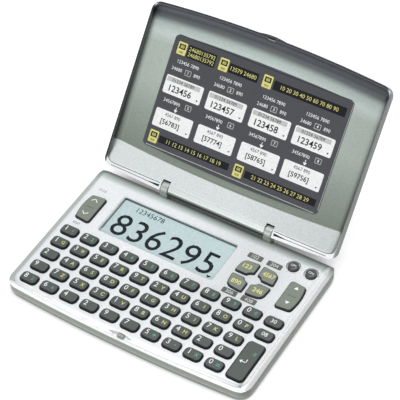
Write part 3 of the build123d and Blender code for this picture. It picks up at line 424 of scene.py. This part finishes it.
# ---- flat print ----
def ink_plastic(name, color, roughness=0.5):
    return plastic("ink_" + name, color, roughness, specular=INK_SPECULAR)


INKS = {
    "white": ink_plastic("white", (0.98, 0.99, 0.985)),
    "yellow": ink_plastic("yellow", (0.78, 0.74, 0.26)),
    "green": ink_plastic("green", (0.16, 0.42, 0.30)),
    "shade": ink_plastic("shade", (0.10, 0.105, 0.11), 0.6),
    # Painted shade along the glass's bevel, and a painted highlight under the latch mark.
    "bevel": ink_plastic("bevel", (0.46, 0.50, 0.50)),
    "band": ink_plastic("band", (0.60, 0.61, 0.60)),
    "edge": ink_plastic("edge", (0.62, 0.64, 0.62)),
    "black": ink_plastic("black", (0.012, 0.012, 0.016)),
    "lcd": ink_plastic("lcd", (0.012, 0.016, 0.02), 0.6),
    "grey": ink_plastic("grey", (0.14, 0.145, 0.135)),
    "pale": ink_plastic("pale", (0.52, 0.54, 0.50)),
    "groove": ink_plastic("groove", (0.10, 0.11, 0.09), 0.6),
}

# A rounded rectangle's corners: their side in x and y, and the angle that each starts at.
CORNERS = ((1, 1, 0), (-1, 1, 90), (-1, -1, 180), (1, -1, 270))
CORNER_POINTS = 5
TEXT_CURVE_STEPS = 3
# Signs lower than this, as a share of the type size, keep their lowness. A minus is one.
LOWEST_SIGN = 0.5


def rounded(x, y, width, depth, radius, grow=0.0):
    """The points round a rounded rectangle, moved outwards by grow."""
    reach = radius + grow
    count = CORNER_POINTS if radius else 1
    points = []
    for side_x, side_y, start in CORNERS:
        mid_x, mid_y = x + side_x * (width / 2 - radius), y + side_y * (depth / 2 - radius)
        for i in range(count):
            a = math.radians(start + 90 * i / max(1, count - 1))
            points.append((mid_x + reach * math.cos(a), mid_y + reach * math.sin(a)))
    return points


class Print:
    """Flat print gathered into one mesh. Lift puts a shape above those that it lies on."""

    def __init__(self):
        self.points, self.faces, self.inks = [], [], []

    def shape(self, points, ink, lift=0.0):
        start = len(self.points)
        self.points += [Vector((x, y, lift)) for x, y in points]
        self.faces.append(list(range(start, start + len(points))))
        self.inks.append(ink)

    def rect(self, x, y, width, depth, ink, radius, lift=0.0):
        radius = min(radius, width / 2, depth / 2)
        self.shape(rounded(x, y, width, depth, radius), ink, lift)

    def ring(self, x, y, width, depth, radius, band, ink):
        """A band of that width outside a rounded rectangle."""
        inner = rounded(x, y, width, depth, radius)
        outer = rounded(x, y, width, depth, radius, band)
        for i in range(len(inner)):
            j = (i + 1) % len(inner)
            self.shape([inner[i], outer[i], outer[j], inner[j]], ink)

    def bar(self, start, end, width, ink, lift=0.0):
        a, b = Vector(start), Vector(end)
        side = Vector((-(b - a).y, (b - a).x)).normalized() * width / 2
        self.shape([a + side, a - side, b - side, b + side], ink, lift)

    def outline(self, points, width, ink, lift):
        for i, point in enumerate(points):
            self.bar(point, points[(i + 1) % len(points)], width, ink, lift)

    def text(self, words, x, y, height, ink, width, bold=0.0, lift=0.0):
        """Words centred on x, y, of that height and no wider than width."""
        curve = bpy.data.curves.new("words", "FONT")
        curve.body = words
        curve.resolution_u = TEXT_CURVE_STEPS
        curve.offset = bold
        maker = bpy.data.objects.new("words", curve)
        bpy.context.scene.collection.objects.link(maker)
        bpy.context.view_layer.update()
        mesh = bpy.data.meshes.new_from_object(maker.evaluated_get(
            bpy.context.evaluated_depsgraph_get()))
        xs = [v.co.x for v in mesh.vertices]
        ys = [v.co.y for v in mesh.vertices]
        scale_y = height / max(LOWEST_SIGN, max(ys) - min(ys))
        scale_x = min(scale_y, width / (max(xs) - min(xs)))
        mid_x, mid_y = (min(xs) + max(xs)) / 2, (min(ys) + max(ys)) / 2
        start = len(self.points)
        for v in mesh.vertices:
            self.points.append(Vector((
                x + (v.co.x - mid_x) * scale_x, y + (v.co.y - mid_y) * scale_y, lift)))
        for polygon in mesh.polygons:
            self.faces.append([start + i for i in polygon.vertices])
            self.inks.append(ink)
        bpy.data.objects.remove(maker)
        bpy.data.curves.remove(curve)
        bpy.data.meshes.remove(mesh)

    def make(self, name, matrix, body):
        mesh = bpy.data.meshes.new(name)
        mesh.from_pydata([p * MM for p in self.points], [], self.faces)
        used = sorted(set(self.inks))
        for ink in used:
            mesh.materials.append(INKS[ink])
        for polygon, ink in zip(mesh.polygons, self.inks):
            polygon.material_index = used.index(ink)
        obj = bpy.data.objects.new(name, mesh)
        bpy.context.scene.collection.objects.link(obj)
        obj.matrix_world = matrix
        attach(obj, body)


def flat_at(z):
    return Matrix.Translation((0, 0, z * MM))


def lid_plane(z):
    """The place of print that is drawn as seen with the lid open, in x and minus y of the
    closed lid, at its height z."""
    axis = Matrix.Translation((0, AXIS_Y * MM, AXIS_Z * MM))
    swing = Matrix.Rotation(-math.radians(OPEN_ANGLE), 4, "X")
    turned_over = Matrix.Diagonal((1, -1, -1, 1))
    return axis @ swing @ axis.inverted() @ flat_at(z) @ turned_over


# ---- print on the base ----
SIGN_BOLD = 0.01
# A small key's hole: its width, depth and corner radius, and the band of painted shadow round it.
HOLE_W, HOLE_D, HOLE_R, HOLE_BAND = 8.86, 5.71, 2.08, 0.3
MAIN_LEGENDS = ["1234567890", "1357924680", "2468013579", "9753186420", "8642975310"]
SECOND_LEGENDS = ["1234567890", "QWERTYUIOP", " ASDFGHJKL", " ZXCVBNM  ", "24    +-x="]
SECOND_INKS = ["green", "yellow", "yellow", "yellow", "green"]
LAST_COLUMN = 10
LAST_COLUMN_LEGENDS = ["30", "08"]
ROW_COLUMNS = [11, 11, 10, 10, 10]
ENTER_ROW = 3


def key_xy(row, column):
    return KEY_X0 + column * PITCH_X, KEY_Y0 - row * PITCH_Y


def legend(sheet, row, column):
    x, y = key_xy(row, column)
    if column == LAST_COLUMN:
        sheet.text(LAST_COLUMN_LEGENDS[row], x, y + 0.2, 2.1, "white", 4.0)
        return
    sheet.text(MAIN_LEGENDS[row][column], x - 1.9, y + 0.5, 2.6, "white", 2.2)
    second = SECOND_LEGENDS[row][column]
    if second != " ":
        sheet.text(second, x + 1.8, y + 0.1, 1.9, SECOND_INKS[row], 1.9, SIGN_BOLD)


def print_keys():
    """Legends of the small keys, which are bodies of their own in rows 1 and 2, and of enter."""
    for row in range(2):
        for column in range(ROW_COLUMNS[row]):
            sheet = Print()
            legend(sheet, row, column)
            name = "key_r%d_c%02d" % (row + 1, column + 1)
            sheet.make("legend_" + name[4:], flat_at(KEY_TOP_Z + INK), name)
    for row in range(2, 5):
        sheet = Print()
        for column in range(ROW_COLUMNS[row]):
            legend(sheet, row, column)
        sheet.make("legend_row_%d" % (row + 1), flat_at(KEY_TOP_Z + INK), "key_row_%d" % (row + 1))
    enter = Print()
    stroke = 0.4
    x, y = key_xy(ENTER_ROW, LAST_COLUMN)
    enter.bar((x + 0.6, y + 0.8), (x + 0.6, y - 1.3), stroke, "white")
    enter.bar((x + 0.8, y - 1.1), (x - 1.4, y - 1.1), stroke, "white")
    enter.shape([(x - 2.6, y - 1.1), (x - 1.2, y - 2.0), (x - 1.2, y - 0.2)], "white")
    enter.text("0", x + 1.9, y + 4.6, 1.9, "green", 1.9, SIGN_BOLD)
    enter.make("legend_enter", flat_at(KEY_TOP_Z + INK), "enter_key")


def print_rockers():
    """Chevrons on the left rocker and triangles on the right one, each with a line across."""
    left, right = Print(), Print()
    stroke, line, line_y = 0.42, 0.25, 12.6
    x = key_xy(0, 0)[0]
    for y, way in ((17.4, 1), (8.3, -1)):
        left.bar((x - 1.5, y - 0.9 * way), (x + 0.1, y + 0.6 * way), stroke, "white")
        left.bar((x + 1.7, y - 0.9 * way), (x + 0.1, y + 0.6 * way), stroke, "white")
    left.bar((x - 2.3, line_y), (x + 2.6, line_y), line, "groove")
    x = key_xy(0, LAST_COLUMN)[0] - 0.4
    for y, way in ((17.4, 1), (8.4, -1)):
        base_y, tip_y = y - 0.7 * way, y + 0.9 * way
        right.shape([(x - 1.1, base_y), (x + 1.1, base_y), (x, tip_y)], "white")
    right.bar((x - 2.3, line_y), (x + 2.3, line_y), line, "groove")
    left.make("legend_rocker_left", flat_at(KEY_TOP_Z + INK), "rocker_left")
    right.make("legend_rocker_right", flat_at(KEY_TOP_Z + INK), "rocker_right")


def print_mode_keys():
    """Numbers on the four mode keys, and the words on the round buttons."""
    off_x, off_y = 5.6, 5.0
    for number, (side_x, side_y, words) in enumerate(
        ((-1, 1, "123"), (1, 1, "4567"), (-1, -1, "890"), (1, -1, "246")), 1
    ):
        sheet = Print()
        x, y = MODE_X + side_x * off_x, MODE_Y + side_y * off_y
        sheet.text(words, x, y, 2.5, "yellow", 6.2, 2 * SIGN_BOLD)
        name = "mode_key_%d" % number
        sheet.make("legend_" + name, flat_at(KEY_TOP_Z + INK), name)
    for x, word, side in ((47.3, "OFF", "left"), (56.4, "ON", "right")):
        sheet = Print()
        sheet.text(word, x, 28.5, 1.2, "white", 2.6)
        sheet.make("legend_round_" + side, flat_at(ROUND_TOP_Z + INK), "round_button_" + side)


def print_panel():
    """Bands of painted shadow round the key holes, the pills by the mode keys and two small
    captions.
    """
    sheet = Print()
    # Painted shadow in the gaps round the keys and enter.
    for row in range(5):
        for column in range(ROW_COLUMNS[row]):
            x, y = key_xy(row, column)
            sheet.ring(x, y, HOLE_W, HOLE_D, HOLE_R, HOLE_BAND, "shade")
    x, y = key_xy(ENTER_ROW, LAST_COLUMN)
    sheet.ring(x, y, HOLE_W, 2 * PITCH_Y + HOLE_D, HOLE_R, HOLE_BAND, "shade")
    pills = ((29.4, 25.0, "102"), (39.4, 25.0, "204"), (29.4, 1.95, "306"), (39.4, 1.95, "408"))
    for x, y, words in pills:
        sheet.rect(x, y, 7.6, 3.1, "grey", 0.6)
        sheet.text(words, x, y, 2.0, "edge", 5.4, SIGN_BOLD, 0.01)
    sheet.text("0123", -54.6, 25.0, 1.4, "grey", 6.4)
    sheet.text("4567", -54.4, 2.2, 1.4, "grey", 6.4)
    sheet.make("print_panel", flat_at(PLATEAU_Z + INK), "base")


def print_display():
    """A small and a large line of digits, a small mark, and painted shade in lines along the
    glass's edges.
    """
    sheet = Print()
    sheet.text("12345678", -27.0, 24.0, 2.8, "lcd", 26.0)
    first_x, digit_pitch = -36.0, 9.5
    for i, digit in enumerate("836295"):
        sheet.text(digit, first_x + digit_pitch * i, 12.6, 13.0, "lcd", 11.0)
    sheet.shape([(14.2, 6.6), (17.0, 6.6), (15.6, 5.2)], "lcd")
    # Painted shadow along the glass's top and left edges, and painted shade of the bevel along its
    # lower and right edges.
    sheet.bar((-43.1, 27.1), (18.5, 27.1), 0.35, "lcd")
    sheet.bar((-42.95, 27.2), (-42.95, 6.5), 0.3, "lcd")
    sheet.bar((-40.0, 4.35), (18.4, 4.35), 0.35, "bevel")
    sheet.bar((18.35, 4.3), (18.35, 25.0), 0.3, "bevel")
    sheet.make("print_display", flat_at(GLASS_TOP_Z + INK), "base")


# ---- print on the lid's card ----
# The boxes' middles: x with the width in each column, and y in each row.
BOX_COLUMNS = [(-36.0, 20.4), (-12.7, 20.4), (10.8, 20.4), (33.7, 20.6)]
BOX_ROWS = [6.6, -9.9]
BOX_D = 8.8
SMALL_TEXT = 1.6
# Print on the card lies in up to three layers above its ground.
LAYER_1, LAYER_2, LAYER_3 = 0.01, 0.02, 0.03


def icon(sheet, x, y):
    sheet.rect(x, y, 4.8, 6.0, "yellow", 0.4, LAYER_1)
    sheet.rect(x, y + 0.9, 3.4, 2.5, "black", 0.2, LAYER_2)
    sheet.text("88", x, y + 0.9, 1.5, "yellow", 2.5, SIGN_BOLD, LAYER_3)
    sheet.text("000", x, y - 1.8, 1.1, "black", 3.2, 0.0, LAYER_2)


def title(sheet, x0, x1, y, depth, words, rows=1):
    """A black band from x0 to x1, with the yellow words on each of its rows."""
    width, middle, row_pitch = x1 - x0, (x0 + x1) / 2, 2.6
    sheet.rect(middle, y, width, depth, "black", 0.2, LAYER_1)
    for i in range(rows):
        row_y = y - (i - (rows - 1) / 2) * row_pitch
        sheet.text(words, middle, row_y, 1.9, "yellow", width * 0.92, 0.0, LAYER_2)


def screen_box(sheet, x, y, width, small, large, band):
    """A white box with a small and a large line, the small one on a grey band if asked."""
    small_y = y + 2.6
    sheet.rect(x, y, width, BOX_D, "white", 0.8, LAYER_1)
    if band:
        sheet.rect(x - 0.6, small_y, width - 2.4, 2.2, "band", 0.1, LAYER_2)
    sheet.text(small, x - 0.8, small_y, SMALL_TEXT, "black", width * 0.8, 0.0, LAYER_3)
    sheet.text(large, x - 1.2, y - 1.4, 3.2, "black", width * 0.78, 0.015, LAYER_2)
    sheet.shape([(x + 7.8, y - 2.4), (x + 9.0, y - 2.4), (x + 8.4, y - 3.2)], "black", LAYER_2)


def ring_mark(sheet, x, y, number):
    half_w, half_d = 1.5, 1.2
    sheet.outline(
        [(x - half_w, y - half_d), (x + half_w, y - half_d),
         (x + half_w, y + half_d), (x - half_w, y + half_d)], 0.3, "pale", LAYER_1)
    sheet.text(number, x, y, 1.4, "white", 1.7, SIGN_BOLD, LAYER_2)


def arrow(sheet, x, y):
    sheet.bar((x, y + 1.4), (x, y), 0.35, "white", LAYER_1)
    sheet.shape([(x - 1.0, y + 0.1), (x + 1.0, y + 0.1), (x, y - 1.3)], "white", LAYER_1)


def caption(sheet, words, x, y, width):
    sheet.text(words, x, y, SMALL_TEXT, "white", width, 0.0, LAYER_1)


def print_card():
    """A generic table of numbered screens, in the colours of the printed card."""
    sheet = Print()
    for x, y in ((-43.0, 24.5), (-20.1, 24.5), (3.3, 24.5), (-43.3, -19.3), (3.3, -19.3)):
        icon(sheet, x, y)
    title(sheet, -39.9, -24.6, 24.4, 6.2, "24680135792", 2)
    title(sheet, -17.2, -1.6, 24.2, 4.4, "13579 24680")
    title(sheet, 6.6, 44.2, 24.2, 4.4, "10 20 30 40 50 60 70 80 90")
    title(sheet, -40.2, -1.8, -19.4, 3.4, "11 12 13 14 15 16 17 18 19")
    title(sheet, 6.8, 44.4, -19.4, 3.4, "21 22 23 24 25 26 27 28 29")
    upper, lower = BOX_ROWS
    for column, (x, width) in enumerate(BOX_COLUMNS):
        drop = 0.9 * (column > 1)
        lower_words = "[%d%d%d]" % (56 + column, 78 - column, column + 3)
        screen_box(sheet, x, upper, width, "01234 56789", "12345%d" % (6 + column), True)
        screen_box(sheet, x, lower, width, "4567 890", lower_words, False)
        caption(sheet, "123456 7890", x - 1.4, 18.4 - drop, 17.0)
        caption(sheet, "24680", x - 6.3, 14.6 - drop, 7.0)
        ring_mark(sheet, x - 0.2, 14.5 - drop, str(column + 1))
        caption(sheet, "890", x + 4.6, 14.6 - drop, 5.0)
        caption(sheet, "34567890", x - 3.6, -0.9, 10.0)
        ring_mark(sheet, x + 5.4, -0.9, str(column + 5))
        arrow(sheet, x - 0.4, -3.9)
    sheet.bar((-46.3, 30.4), (45.1, 30.4), 0.2, "black", LAYER_1)
    sheet.bar((-46.0, -23.85), (45.0, -23.85), 0.26, "edge", LAYER_1)
    sheet.bar((46.45, -22.0), (46.45, 29.0), 0.2, "edge", LAYER_1)
    sheet.make("print_card", lid_plane(CARD_Z - INK), "lid")


# ---- details of the lid's rim ----
def solid_prism(name, outline, z0, z1, mat, matrix, body):
    count = len(outline)
    points = [Vector((x, y, z)) * MM for z in (z0, z1) for x, y in outline]
    faces = [list(range(count))[::-1], list(range(count, 2 * count))]
    faces += [[i, (i + 1) % count, count + (i + 1) % count, count + i] for i in range(count)]
    mesh = bpy.data.meshes.new(name)
    mesh.from_pydata(points, [], faces)
    mesh.materials.append(mat)
    obj = bpy.data.objects.new(name, mesh)
    bpy.context.scene.collection.objects.link(obj)
    obj.matrix_world = matrix
    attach(obj, body)


def lid_details():
    """Near-black solids and print painted as shadow in the slots beside the hinge, the fine lines
    that run out beside them and along the rim's sides, and the latch's recess as a painted dark
    hollow with a painted highlight under it."""
    grooves = Print()
    groove = 0.3
    line_y, corner_x, corner_r, end_y = -38.15, 57.6, 4.3, 36.0
    for side, word in ((-1, "left"), (1, "right")):
        # Painted shadow: near-black solids and print in the slots beside the hinge.
        outline = [(side * 31.75, -39.28), (side * 31.75, -39.92), (side * 38.8, -39.62)]
        if side < 0:
            outline.reverse()
        solid_prism("slot_painted_shadow_" + word, outline, -0.9, -0.08, BLACK, lid_plane(RIM_Z), "lid")
        grooves.shape([(side * 31.2, -39.0), (side * 31.2, -40.2), (side * 39.4, -39.66)], "lcd")
        grooves.bar((side * 38.0, -39.62), (side * 58.5, -39.35), groove, "shade")
        line = [(side * 31.0, line_y), (side * corner_x, line_y)]
        for i in range(1, CORNER_POINTS):
            a = math.radians(90 * i / (CORNER_POINTS - 1))
            x = corner_x + corner_r * math.sin(a)
            line.append((side * x, line_y + corner_r * (1 - math.cos(a))))
        line.append((side * (corner_x + corner_r), end_y))
        for start, end in zip(line, line[1:]):
            grooves.bar(start, end, groove, "shade")
    # The latch's recess: painted shadow in the hollow, and a painted highlight line under it.
    grooves.shape([(-2.6, 44.0), (0.0, 43.55), (2.6, 44.0), (0.0, 44.4)], "lcd", 0.01)
    grooves.bar((-1.6, 43.35), (1.9, 43.35), 0.25, "bevel", 0.01)
    grooves.make("lid_grooves", lid_plane(RIM_Z - 0.005), "lid")


# ---- stage, light and camera, with lengths in metres ----
OBJECT_MIDDLE = (0, 0.03, 0.02)
FLOOR_HALF, FLOOR_Z = 3.0, -0.00052
FLOOR_GLOW, CONTACT_REACH = 0.6, 0.03
WORLD_LIGHT, WORLD_SEEN = 0.30, 1.05


def area_light(name, place, size, power):
    """A round lamp, turned to the object's middle."""
    data = bpy.data.lights.new(name, "AREA")
    data.shape = "DISK"
    data.size = size
    data.energy = power
    light = bpy.data.objects.new(name, data)
    light.location = place
    aim = Vector(OBJECT_MIDDLE) - Vector(place)
    light.rotation_euler = aim.to_track_quat("-Z", "Y").to_euler()
    bpy.context.scene.collection.objects.link(light)


def seen_directly(tree):
    """1 for rays from the camera and those that metal and glass send on, 0 for the light."""
    rays = tree.nodes.new("ShaderNodeLightPath").outputs
    sent_on = math_node(tree, "MAXIMUM", rays["Is Glossy Ray"], rays["Is Transmission Ray"])
    return math_node(tree, "MAXIMUM", rays["Is Camera Ray"], sent_on)


def make_floor():
    """Paper just below the feet. It glows white where it is seen directly, keeps the object's
    shadow, and has painted shadow at contact from ambient occlusion."""
    mesh = bpy.data.meshes.new("floor")
    corners = [(-1, -1), (1, -1), (1, 1), (-1, 1)]
    mesh.from_pydata(
        [(x * FLOOR_HALF, y * FLOOR_HALF, FLOOR_Z) for x, y in corners], [], [(0, 1, 2, 3)])
    floor = bpy.data.objects.new("floor", mesh)
    bpy.context.scene.collection.objects.link(floor)
    mat, tree, bsdf = shader("floor_paper", grey(0.6), 0.9)
    # Painted shadow: ambient occlusion darkens the paper and its glow near and under the object.
    contact = tree.nodes.new("ShaderNodeAmbientOcclusion")
    contact.inputs["Distance"].default_value = CONTACT_REACH
    paper = ramp_color(tree, contact.outputs["AO"], [(0.36, grey(0.2)), (0.54, grey(0.6))])
    dimmed = ramp_color(tree, contact.outputs["AO"], [(0.36, grey(0.3)), (0.54, grey(1.0))])
    level = math_node(tree, "MULTIPLY", seen_directly(tree), FLOOR_GLOW)
    glow = tree.nodes.new("ShaderNodeEmission")
    glow.inputs["Color"].default_value = (1, 1, 1, 1)
    both = tree.nodes.new("ShaderNodeAddShader")
    tree.links.new(paper, bsdf.inputs["Base Color"])
    tree.links.new(math_node(tree, "MULTIPLY", level, dimmed), glow.inputs["Strength"])
    tree.links.new(bsdf.outputs["BSDF"], both.inputs[0])
    tree.links.new(glow.outputs["Emission"], both.inputs[1])
    tree.links.new(both.outputs["Shader"], tree.nodes["Material Output"].inputs["Surface"])
    mesh.materials.append(mat)


def make_world():
    """Soft light from all sides, in front of a white backdrop."""
    world = bpy.data.worlds.new("studio")
    bpy.context.scene.world = world
    world.use_nodes = True
    tree = world.node_tree
    background = tree.nodes["Background"]
    background.inputs["Color"].default_value = (0.96, 0.98, 1.0, 1)
    strength = tree.nodes.new("ShaderNodeMapRange")
    strength.inputs["To Min"].default_value = WORLD_LIGHT
    strength.inputs["To Max"].default_value = WORLD_SEEN
    tree.links.new(seen_directly(tree), strength.inputs["Value"])
    tree.links.new(strength.outputs["Result"], background.inputs["Strength"])


def make_camera():
    """The photograph's view, from the fit of the base's outline, the key grid and the lid."""
    data = bpy.data.cameras.new("camera")
    data.lens = 153.93
    data.sensor_width = 36.0
    data.clip_start = 0.01
    camera = bpy.data.objects.new("camera", data)
    camera.location = (0.298518, -0.395239, 0.606730)
    camera.rotation_euler = [math.radians(a) for a in (41.74297, 3.12902, 31.78689)]
    bpy.context.scene.collection.objects.link(camera)
    bpy.context.scene.camera = camera


dress_frame()
print_keys()
print_rockers()
print_mode_keys()
print_panel()
print_display()
print_card()
lid_details()
make_floor()
make_world()
area_light("key_light", place=(0.08, 0.2, 0.95), size=0.9, power=7.3)
area_light("fill_light", place=(-0.3, -1.0, 0.35), size=0.5, power=2.9)
make_camera()
bpy.context.scene.view_settings.view_transform = "Standard"
